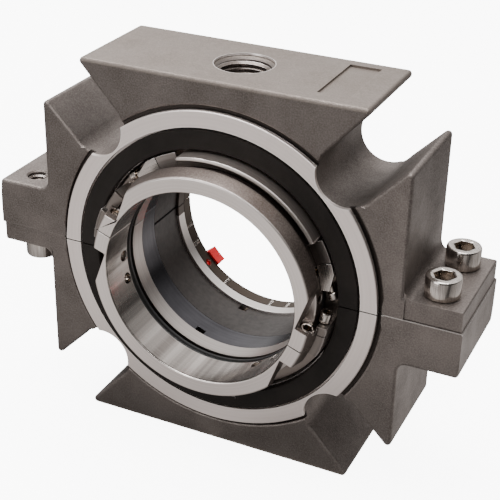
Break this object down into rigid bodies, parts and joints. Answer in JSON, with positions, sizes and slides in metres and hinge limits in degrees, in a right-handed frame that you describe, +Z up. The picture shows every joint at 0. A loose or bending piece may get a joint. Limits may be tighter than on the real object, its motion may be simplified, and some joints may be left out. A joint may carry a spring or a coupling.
{
  "type": "mechanical seal",
  "caption": "Split mechanical seal for a pump shaft: a cast gland in two bolted halves with slots for stud bolts and a flush port, round a clamp-on rotor and sprung seal faces.",
  "frame": {"origin": "on the shaft axis, in the plane of the gland's cast front face, inside the clamp collar's bore", "axes": "-Y along the shaft towards the pump side (the collar and face gasket), +Y towards the rear hub and red clips, +Z up through the flush port, +X towards the ear whose screw heads are on top"},
  "size_m": [0.1896, 0.0749, 0.15],
  "materials": {
    "cast_steel": "blasted as-cast stainless steel, fine grain, matt",
    "turned_steel": "turned stainless steel, satin with fine rings",
    "collar_steel": "turned stainless steel, warm satin",
    "screw_steel": "polished stainless steel, smooth heads with fine vertical streaks",
    "gasket_black": "black fibre gasket, matt with fine specks",
    "oring_black": "black elastomer, slight sheen",
    "clip_red": "moulded red plastic",
    "rotary_ceramic": "lapped dark silicon carbide, blue-grey",
    "stationary_carbon": "machined carbon graphite, brown-grey"
  },
  "bodies": {
    "root": {"gland_upper": "cast_steel", "gland_lower": "cast_steel", "split_gasket_left": "gasket_black", "split_gasket_right": "gasket_black", "face_gasket_upper": "gasket_black", "face_gasket_lower": "gasket_black", "gland_screws": "screw_steel", "stationary_oring": "oring_black", "springs": "screw_steel", "centring_clips": "clip_red"},
    "face_float": {"stationary_face_upper": "stationary_carbon", "stationary_face_lower": "stationary_carbon", "thrust_ring_upper": "turned_steel", "thrust_ring_lower": "turned_steel", "thrust_pins": "screw_steel"},
    "rotor": {"collar_upper": "collar_steel", "collar_lower": "collar_steel", "collar_screws": "screw_steel", "set_screws": "screw_steel", "holder_upper": "turned_steel", "holder_lower": "turned_steel", "holder_screws": "screw_steel", "lock_ring_top": "turned_steel", "lock_ring_bottom": "turned_steel", "lock_blocks": "turned_steel", "lock_screws": "screw_steel", "shaft_oring": "oring_black", "rotary_face_upper": "rotary_ceramic", "rotary_face_lower": "rotary_ceramic", "rotary_oring": "oring_black", "drive_pins": "screw_steel"}
  },
  "joints": [
    {"name": "float", "type": "slide", "parent": "root", "child": "face_float", "axis": [0, 1, 0], "range_m": [0, 0.001], "stiffness_N_per_m": 8000, "springref_m": -0.004, "deforming": ["springs"]},
    {"name": "rotor_spin", "type": "hinge", "parent": "root", "child": "rotor", "pos_m": [0, 0, 0], "axis": [0, -1, 0], "continuous": true}
  ]
}
